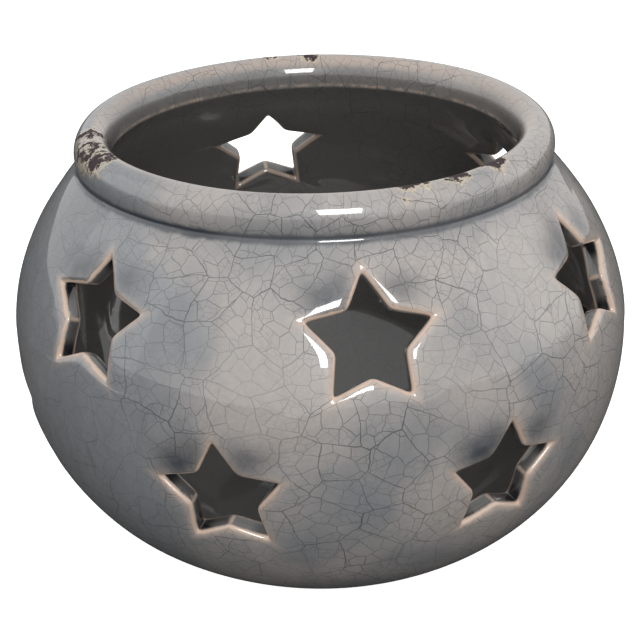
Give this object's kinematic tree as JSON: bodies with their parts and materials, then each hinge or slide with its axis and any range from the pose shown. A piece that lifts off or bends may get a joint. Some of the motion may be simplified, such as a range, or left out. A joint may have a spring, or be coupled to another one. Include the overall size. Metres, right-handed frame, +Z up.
{
  "type": "tealight holder",
  "caption": "Round crackle-glazed ceramic bowl with a rolled rim and two rows of star openings, with a tealight standing loose on its floor.",
  "frame": {"origin": "the middle of the foot, on the surface that the holder stands on", "axes": "+Z up, along the bowl's axis; -Y is the front, the side with a star of the upper row just right of the middle"},
  "size_m": [0.16, 0.16, 0.119],
  "materials": {
    "glazed_clay": "gloss crackle glaze, pale blue-grey over buff clay",
    "cup_foil": "bright pressed foil",
    "candle_wax": "white paraffin wax",
    "cotton_wick": "braided cotton",
    "tinned_steel": "tinned sheet steel"
  },
  "bodies": {
    "holder": {"ceramic_bowl": "glazed_clay"},
    "tealight": {"tealight_cup": "cup_foil"},
    "candle": {"wax": "candle_wax", "wick": "cotton_wick", "wick_sustainer": "tinned_steel"}
  },
  "joints": [
    {"name": "tealight_lift", "type": "slide", "parent": "holder", "child": "tealight", "axis": [0, 0, 1], "range_m": [0, 0.125]},
    {"name": "candle_lift", "type": "slide", "parent": "tealight", "child": "candle", "axis": [0, 0, 1], "range_m": [0, 0.02]}
  ]
}
